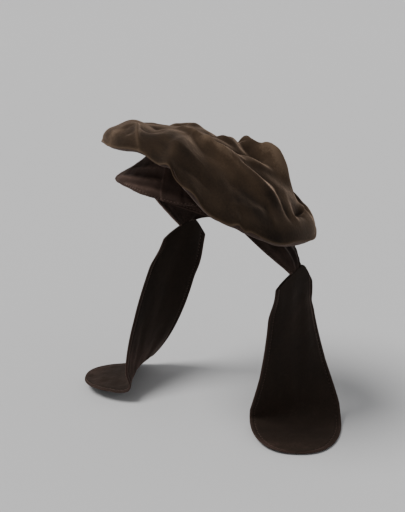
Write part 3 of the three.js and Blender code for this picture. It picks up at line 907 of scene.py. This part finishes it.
def make_tab(name, side):
    plain, facing = tab_grid(side)
    down = np.linspace(0, 1, TAB_ROWS + 1)[:, None]
    over = np.linspace(0, 1, TAB_COLUMNS + 1)[None]
    arch = np.sin(np.pi * down)
    gathers = GATHER_HEIGHT * np.cos(2 * np.pi * GATHER_COUNT * over + GATHER_TURN * down) * arch**0.7
    points = plain + facing * (rumple(plain, TAB_RUMPLES) * arch + gathers)[..., None]
    to_first = np.linalg.norm(points - points[:, :1], axis=-1)
    to_last = np.linalg.norm(points - points[:, -1:], axis=-1)
    from_side = np.minimum(to_first, to_last)
    shell(
        f"tab_velvet_{name}", points, points - facing * CLOTH, False, "underside_velvet",
        [f"ear_tab_{name}"], crest=crest_of(points, False, span=8),
        seam=TAB_WEAR * bell(from_side, TAB_WEAR_WIDTH), edge=from_side,
        run=np.broadcast_to(TAB_RUN * down, from_side.shape),
        brushed_way=np.full(from_side.shape, TAB_TONE),
    )


def lappet_width(along):
    """Width of a lappet at a share of its length."""
    past = np.clip((along - ROUND_END_FROM) / (1 - ROUND_END_FROM), 0, 1)
    ended = (1 - past**ROUND_END_POWER) ** (1 / ROUND_END_POWER)
    hanging = np.interp(along, LAPPET_OUTLINE[:, 0], LAPPET_OUTLINE[:, 1])
    return LAPPET_WIDTH * np.where(along >= ROUND_END_FROM, ended, hanging)


def lappet_path(pose, along):
    """Places and directions of a lappet's middle line, down to the surface, round a bend, then flat
    on the surface, and the share of its length where it lies flat."""
    side = pose["side"]
    start = tab_end(side) - joint_line(side) * JOINT_PLACE * LAPPET_WIDTH * LAPPET_OUTLINE[0][1]
    start = start - outward(side * JOINT_FACING) * CLOTH / 2
    start[2] += LAPPET_TUCK
    corner = with_height(outward(pose["at"]) * TAB_REACH * pose["reach"], LOWEST)
    fall = unit(corner - start)
    ahead = outward(pose["heading"])
    bend_start = corner - fall * BEND_REACH
    bend_end = corner + ahead * BEND_REACH
    t = np.linspace(0, 1, 65)[:, None]
    bend = (1 - t) ** 2 * bend_start + 2 * t * (1 - t) * corner + t**2 * bend_end
    bend_length = np.linalg.norm(np.diff(bend, axis=0), axis=1).sum()
    flat = LAPPET_LENGTH - np.linalg.norm(bend_start - start) - bend_length
    line = np.concatenate([start[None], bend, (bend_end + ahead * flat)[None]])
    run = np.concatenate([[0], np.cumsum(np.linalg.norm(np.diff(line, axis=0), axis=1))])

    def place_at(distance):
        distance = np.clip(distance, 0, run[-1])
        return np.stack([np.interp(distance, run, line[:, k]) for k in range(3)], -1)

    at = along * run[-1]
    tangent = unit(place_at(at + 1.5) - place_at(at - 1.5))
    return place_at(at), tangent, 1 - flat / LAPPET_LENGTH


def upper_edge_drop(from_middle):
    """How far a place on a lappet's upper edge lies below the joint's line, from that edge's middle."""
    middle = JOINT_PLACE * LAPPET_WIDTH * LAPPET_OUTLINE[0][1]
    past = from_middle - middle - TAB_END_WIDTH / 2 - SHOULDER_EASE
    behind = np.maximum(0, (past + np.hypot(past, SHOULDER_EASE)) / 2 - SHOULDER_EASE / 10)
    return SHOULDER_SLOPE * behind + JOINT_SLOPE * (behind - from_middle)


def lappet_grid(pose):
    """Plain points of a lappet's middle surface and the directions in which they face, with the
    distance down the lappet, from its nearer edge and from its middle line."""
    side = pose["side"]
    along = 1 - (1 - np.arange(LAPPET_ROWS + 1) / LAPPET_ROWS) ** LAPPET_CROWDING
    place, tangent, settled_at = lappet_path(pose, along)
    settled = np.minimum(1, along / settled_at) ** SETTLE_POWER
    facing = side * JOINT_FACING + (pose["heading"] - side * JOINT_FACING) * settled
    across = outward(facing + 90)
    upper = 1 - smooth(along * 4)
    across = unit(across + tangent * ((upper - 1) * (across * tangent).sum(-1))[:, None])
    across[:, 2] *= 1 - settled
    width = np.maximum(lappet_width(along), LAPPET_WIDTH * TIP_WIDTH)
    outside = unit(np.cross(tangent, across))
    outside[0] = outward(facing[0])
    cup = LAPPET_CUP * smooth(along * 5) * (1 - settled)
    share = np.linspace(-0.5, 0.5, LAPPET_COLUMNS + 1)
    from_middle = share[None] * width[:, None]
    to_back = side * from_middle
    points = place[:, None] + across[:, None] * from_middle[..., None]
    points = points + outside[:, None] * (cup[:, None] * (np.cos(np.pi * share) - 1))[..., None]
    points[..., 2] -= upper[:, None] * (upper_edge_drop(to_back) + CORNER_DROP * (2 * share[None]) ** 4)
    points[..., 2] = np.maximum(points[..., 2], LOWEST)
    lift = pose["front"] + (pose["back"] - pose["front"]) * (0.5 + to_back / LAPPET_WIDTH)
    points[..., 2] += settled[:, None] * lift * LAPPET_WIDTH
    down = np.broadcast_to(along[:, None] * LAPPET_LENGTH, from_middle.shape)
    from_edge = (0.5 - np.abs(share))[None] * width[:, None]
    return points, np.broadcast_to(outside[:, None], points.shape), down, from_edge, from_middle


def make_lappet(name, pose):
    plain, facing, down, from_edge, from_middle = lappet_grid(pose)
    side = pose["side"]

    def waves(height, across, lengthwise, seed):
        phase = from_middle[..., None] * (across, 0, 0) + down[..., None] * (0, lengthwise, 0)
        return height * cloth_noise(phase, 1.0, seed + side, 1)

    hanging = smooth((plain[..., 2] - LOWEST - 4) / 40) * smooth(down / FOLDS_FROM)
    folds = waves(*LONG_FOLDS) * hanging
    folds += rumple(plain, LAPPET_RUMPLES) * smooth(down / 12)
    folds += waves(*END_RIPPLES) * smooth((down - RIPPLES_FROM) / RIPPLES_SPREAD)
    folds *= EDGE_FOLD + (1 - EDGE_FOLD) * smooth(from_edge / EDGE_CALM)
    points = plain + facing * folds[..., None]
    points[..., 2] = np.maximum(points[..., 2], LOWEST)
    inwards = np.clip(from_edge / LAPPET_EDGE_ROUND, 0, 1)
    half = LAPPET_WALL / 2 * np.sqrt(np.clip(1 - (1 - inwards) ** 2, LAPPET_EDGE_THIN, 1))
    half = half - LAPPET_DENT * bell(from_edge - LAPPET_STITCHES, LAPPET_DENT_WIDTH)
    outer = points + facing * half[..., None]
    shell(
        f"lappet_velvet_{name}", outer, points - facing * half[..., None], False, "lappet_velvet",
        [f"lappet_{name}"], crest=crest_of(outer, False, span=8),
        seam=LAPPET_WEAR * bell(from_edge, LAPPET_WEAR_WIDTH), edge=from_edge, run=down,
        # Painted light low on the hanging part by the bend, and a painted sheen on the flat end
        brushed_way=BEND_PAINTED_LIGHT * bell(down - BEND_PLACE, BEND_SPREAD)
        + END_PAINTED_LIGHT * smooth((down - END_FROM) / END_SPREAD),
    )


make_crown()
make_underside()
make_band()
for name, pose in LAPPETS.items():
    make_tab(name, pose["side"])
    make_lappet(name, pose)

# Directions from the middle of the picture towards the camera and to its right, seen from above
TOWARD = Vector((0.766, -0.643, 0))
RIGHT = Vector((0.643, 0.766, 0))

# Camera, in metres from the origin, with its lens in millimetres
CAMERA_AWAY = 1.316
CAMERA_ASIDE = 0.0025
CAMERA_HEIGHT = 0.496
CAMERA_TILT = 22.5
CAMERA_LENS = 98.4

# Backdrop, in metres: the floor just under the lappets' ends, how far behind the cap it stays flat,
# and the curve that takes it up into the wall
FLOOR_LEVEL = -STAND_HEIGHT / 1000 - 0.0004
FLOOR_ENDS = 1.5
CURVE_RADIUS = 1.4
CURVE_STEPS = 16
WALL_HEIGHT = 7.0
HALF_WIDTH = 8.0


def make_backdrop():
    """A floor that curves up into a wall behind the cap, as one smooth sheet."""
    along = [(-6.0, 0.0), (-3.0, 0.0), (0.0, 0.0), (FLOOR_ENDS, 0.0)]
    for k in range(1, CURVE_STEPS + 1):
        a = math.radians(90 * k / CURVE_STEPS)
        along.append((FLOOR_ENDS + CURVE_RADIUS * math.sin(a), CURVE_RADIUS - CURVE_RADIUS * math.cos(a)))
    along.append((FLOOR_ENDS + CURVE_RADIUS, WALL_HEIGHT))
    verts = []
    for distance, height in along:
        for lateral in (-HALF_WIDTH, HALF_WIDTH):
            spot = RIGHT * lateral - TOWARD * distance
            verts.append((spot.x, spot.y, FLOOR_LEVEL + height))
    faces = [(2 * k, 2 * k + 1, 2 * k + 3, 2 * k + 2) for k in range(len(along) - 1)]
    mesh = bpy.data.meshes.new("backdrop")
    mesh.from_pydata(verts, [], faces)
    mesh.shade_smooth()
    sheet = bpy.data.objects.new("backdrop", mesh)
    bpy.context.scene.collection.objects.link(sheet)
    material = bpy.data.materials.new("pale_grey")
    material.use_nodes = True
    shader = material.node_tree.nodes["Principled BSDF"]
    shader.inputs["Base Color"].default_value = (0.655, 0.655, 0.66, 1)
    shader.inputs["Roughness"].default_value = 0.9
    shader.inputs["Specular IOR Level"].default_value = 0.1
    mesh.materials.append(material)


def make_light():
    """One soft sun from above and from the picture's left, and an even pale world."""
    key = bpy.data.lights.new("key", "SUN")
    key.energy = 2.62
    key.angle = math.radians(28)
    key.color = (1.0, 0.99, 0.975)
    key_light = bpy.data.objects.new("key", key)
    key_light.rotation_euler = Vector((0.29, 0.52, -1.0)).to_track_quat("-Z", "Y").to_euler()
    bpy.context.scene.collection.objects.link(key_light)
    world = bpy.data.worlds.new("studio")
    world.use_nodes = True
    world.node_tree.nodes["Background"].inputs["Color"].default_value = (0.98, 0.99, 1.0, 1)
    world.node_tree.nodes["Background"].inputs["Strength"].default_value = 0.42
    bpy.context.scene.world = world


def make_camera():
    """The photo's view of the cap, from its left front and above."""
    view_from = bpy.data.cameras.new("photo_view")
    view_from.lens = CAMERA_LENS
    view_from.sensor_width = 36
    camera = bpy.data.objects.new("photo_view", view_from)
    camera.location = TOWARD * CAMERA_AWAY + RIGHT * CAMERA_ASIDE + Vector((0, 0, CAMERA_HEIGHT))
    tilt = math.radians(CAMERA_TILT)
    gaze = -TOWARD * math.cos(tilt) + Vector((0, 0, -math.sin(tilt)))
    camera.rotation_euler = gaze.to_track_quat("-Z", "Y").to_euler()
    bpy.context.scene.collection.objects.link(camera)
    bpy.context.scene.camera = camera


make_backdrop()
make_light()
make_camera()
